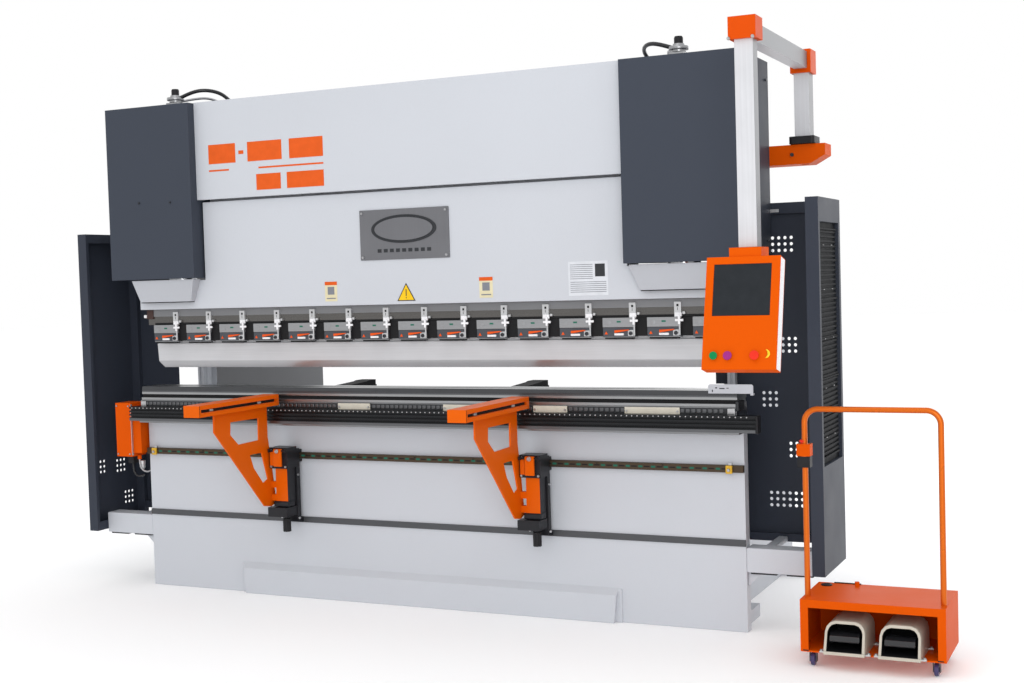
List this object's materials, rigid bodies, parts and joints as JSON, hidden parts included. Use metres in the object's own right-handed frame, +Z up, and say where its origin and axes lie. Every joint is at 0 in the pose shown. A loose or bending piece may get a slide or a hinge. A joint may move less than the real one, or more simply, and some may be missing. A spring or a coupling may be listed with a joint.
{
  "type": "press brake",
  "caption": "Hydraulic press brake with a vertical ram, V die, back gauge, front sheet supports, swinging control pendant and a rolling foot-pedal trolley.",
  "frame": {"origin": "on the floor under the middle of the bending line, on the bed plate's bottom face", "axes": "+X along the bed to the operator's right, +Y to the back of the machine, +Z up"},
  "size_m": [4.299, 2.1066, 2.492],
  "materials": {
    "machine_paint": "satin light grey powder coat",
    "slate_paint": "textured slate powder coat",
    "orange_paint": "semi-gloss orange powder coat",
    "brass_guide": "dull ground",
    "black_rail": "black anodised",
    "tool_steel": "ground",
    "motor_iron": "painted casting",
    "valve_steel": "machined",
    "polished_rod": "polished",
    "cable_grey": "matt",
    "dark_casting": "black painted",
    "black_plastic": "moulded",
    "arm_aluminium": "satin painted",
    "green_button": "glossy",
    "magenta_button": "glossy",
    "red_button": "glossy",
    "cream_casting": "enamel on a casting",
    "wheel_tyre": "moulded"
  },
  "bodies": {
    "frame": {"right_side_frame": "machine_paint", "left_side_frame": "machine_paint", "bed_plate": "machine_paint", "front_guides": "brass_guide", "support_rail": "black_rail", "crowning_table": "tool_steel", "lower_die": "tool_steel", "die_end_bracket": "tool_steel", "rear_cross_beam": "machine_paint", "oil_tank": "slate_paint", "hydraulic_unit": "motor_iron", "cylinders": "motor_iron", "valves_and_hoses": "valve_steel", "cylinder_covers": "slate_paint", "upper_front_cover": "machine_paint", "crowning_motor_box": "orange_paint", "crowning_motor_cable": "cable_grey", "guard_right": "slate_paint", "guard_left": "slate_paint", "guard_beams": "machine_paint", "pendant_bracket": "orange_paint", "electrical_cabinet": "slate_paint", "gauge_rails": "machine_paint"},
    "ram": {"ram_plate": "machine_paint", "ram_front_panel": "machine_paint", "rod_covers": "machine_paint", "piston_rods": "polished_rod", "clamp_rail": "tool_steel", "tool_clamps": "tool_steel", "clamp_levers": "orange_paint", "upper_punch": "tool_steel"},
    "gauge_carriage": {"gauge_carriage": "dark_casting"},
    "gauge_beam": {"gauge_beam": "black_rail"},
    "gauge_finger_left": {"gauge_finger_left": "dark_casting"},
    "gauge_finger_right": {"gauge_finger_right": "dark_casting"},
    "support_carriage_left": {"support_carriage_left": "dark_casting"},
    "support_arm_left": {"support_arm_left": "orange_paint"},
    "lock_lever_left": {"lock_lever_left": "orange_paint"},
    "height_knob_left": {"height_knob_left": "black_plastic"},
    "support_carriage_right": {"support_carriage_right": "dark_casting"},
    "support_arm_right": {"support_arm_right": "orange_paint"},
    "lock_lever_right": {"lock_lever_right": "orange_paint"},
    "height_knob_right": {"height_knob_right": "black_plastic"},
    "pendant_arm": {"pendant_arm_tubes": "arm_aluminium", "corner_blocks": "orange_paint"},
    "pendant": {"pendant_case": "orange_paint"},
    "start_button": {"start_button": "green_button"},
    "reset_button": {"reset_button": "magenta_button"},
    "emergency_stop": {"emergency_stop": "red_button"},
    "trolley": {"trolley_box": "orange_paint", "trolley_handle": "orange_paint", "pedal_hoods": "cream_casting"},
    "pedal_left": {"pedal_left": "black_plastic"},
    "pedal_right": {"pedal_right": "black_plastic"},
    "caster_fork_left": {"caster_fork_left": "dark_casting"},
    "caster_fork_right": {"caster_fork_right": "dark_casting"},
    "front_wheel_left": {"front_wheel_left": "wheel_tyre"},
    "front_wheel_right": {"front_wheel_right": "wheel_tyre"},
    "rear_wheels": {"rear_wheels": "wheel_tyre"},
    "cabinet_door": {"cabinet_door": "slate_paint"}
  },
  "joints": [
    {"name": "ram_stroke", "type": "slide", "parent": "frame", "child": "ram", "axis": [0, 0, -1], "range_m": [0, 0.098]},
    {"name": "gauge_depth", "type": "slide", "parent": "frame", "child": "gauge_carriage", "axis": [0, 1, 0], "range_m": [0, 0.5]},
    {"name": "gauge_height", "type": "slide", "parent": "gauge_carriage", "child": "gauge_beam", "axis": [0, 0, -1], "range_m": [0, 0.06]},
    {"name": "finger_left_slide", "type": "slide", "parent": "gauge_beam", "child": "gauge_finger_left", "axis": [1, 0, 0], "range_m": [-0.2, 0.35]},
    {"name": "finger_right_slide", "type": "slide", "parent": "gauge_beam", "child": "gauge_finger_right", "axis": [1, 0, 0], "range_m": [-0.35, 0.3]},
    {"name": "support_left_slide", "type": "slide", "parent": "frame", "child": "support_carriage_left", "axis": [1, 0, 0], "range_m": [-0.7, 0.5]},
    {"name": "support_left_height", "type": "slide", "parent": "support_carriage_left", "child": "support_arm_left", "axis": [0, 0, 1], "range_m": [0, 0.06]},
    {"name": "lock_lever_left_hinge", "type": "hinge", "parent": "support_carriage_left", "child": "lock_lever_left", "pos_m": [-0.669, -0.152, 0.722], "axis": [-1, 0, 0], "range_deg": [0, 70]},
    {"name": "height_knob_left_turn", "type": "hinge", "parent": "support_carriage_left", "child": "height_knob_left", "pos_m": [-0.669, -0.098, 0.392], "axis": [0, 0, 1], "range_deg": [0, 2170]},
    {"name": "support_right_slide", "type": "slide", "parent": "frame", "child": "support_carriage_right", "axis": [1, 0, 0], "range_m": [-0.5, 0.85]},
    {"name": "support_right_height", "type": "slide", "parent": "support_carriage_right", "child": "support_arm_right", "axis": [0, 0, 1], "range_m": [0, 0.06]},
    {"name": "lock_lever_right_hinge", "type": "hinge", "parent": "support_carriage_right", "child": "lock_lever_right", "pos_m": [0.639, -0.152, 0.722], "axis": [-1, 0, 0], "range_deg": [0, 70]},
    {"name": "height_knob_right_turn", "type": "hinge", "parent": "support_carriage_right", "child": "height_knob_right", "pos_m": [0.639, -0.098, 0.392], "axis": [0, 0, 1], "range_deg": [0, 2170]},
    {"name": "pendant_swing", "type": "hinge", "parent": "frame", "child": "pendant_arm", "pos_m": [1.747, 0.33, 2.04], "axis": [0, 0, 1], "range_deg": [-10, 80]},
    {"name": "pendant_swivel", "type": "hinge", "parent": "pendant_arm", "child": "pendant", "pos_m": [1.752, -0.58, 1.59], "axis": [0, 0, 1], "range_deg": [-60, 60]},
    {"name": "start_button_press", "type": "slide", "parent": "pendant", "child": "start_button", "axis": [0, 0.9703, -0.2419], "range_m": [0, 0.004], "stiffness_N_per_m": 500, "springref_m": -0.001},
    {"name": "reset_button_press", "type": "slide", "parent": "pendant", "child": "reset_button", "axis": [0, 0.9703, -0.2419], "range_m": [0, 0.004], "stiffness_N_per_m": 500, "springref_m": -0.001},
    {"name": "emergency_stop_press", "type": "slide", "parent": "pendant", "child": "emergency_stop", "axis": [0, 0.9703, -0.2419], "range_m": [0, 0.006], "stiffness_N_per_m": 500, "springref_m": -0.001},
    {"name": "trolley_roll", "type": "slide", "parent": "frame", "child": "trolley", "axis": [0, -1, 0], "range_m": [0, 0.6]},
    {"name": "pedal_left_press", "type": "hinge", "parent": "trolley", "child": "pedal_left", "pos_m": [2.042, -0.285, 0.1], "axis": [1, 0, 0], "range_deg": [0, 10], "stiffness_Nm_per_rad": 10, "springref_deg": -17.19},
    {"name": "pedal_right_press", "type": "hinge", "parent": "trolley", "child": "pedal_right", "pos_m": [2.244, -0.285, 0.1], "axis": [1, 0, 0], "range_deg": [0, 10], "stiffness_Nm_per_rad": 10, "springref_deg": -17.19},
    {"name": "caster_left_swivel", "type": "hinge", "parent": "trolley", "child": "caster_fork_left", "pos_m": [1.912, -0.38, 0.055], "axis": [0, 0, 1], "continuous": true},
    {"name": "front_wheel_left_spin", "type": "hinge", "parent": "caster_fork_left", "child": "front_wheel_left", "pos_m": [1.912, -0.392, 0.024], "axis": [1, 0, 0], "continuous": true},
    {"name": "caster_right_swivel", "type": "hinge", "parent": "trolley", "child": "caster_fork_right", "pos_m": [2.366, -0.38, 0.055], "axis": [0, 0, 1], "continuous": true},
    {"name": "front_wheel_right_spin", "type": "hinge", "parent": "caster_fork_right", "child": "front_wheel_right", "pos_m": [2.366, -0.392, 0.024], "axis": [1, 0, 0], "continuous": true},
    {"name": "rear_wheels_spin", "type": "hinge", "parent": "trolley", "child": "rear_wheels", "pos_m": [2.139, -0.155, 0.024], "axis": [1, 0, 0], "continuous": true},
    {"name": "cabinet_door_hinge", "type": "hinge", "parent": "frame", "child": "cabinet_door", "pos_m": [-1.715, 1.24, 1.2], "axis": [0, 0, -1], "range_deg": [0, 110]}
  ],
  "couplings": [
    {"joint": "height_knob_left_turn", "follows": "support_left_height", "rad_per_m": 628.32},
    {"joint": "height_knob_right_turn", "follows": "support_right_height", "rad_per_m": 628.32}
  ]
}
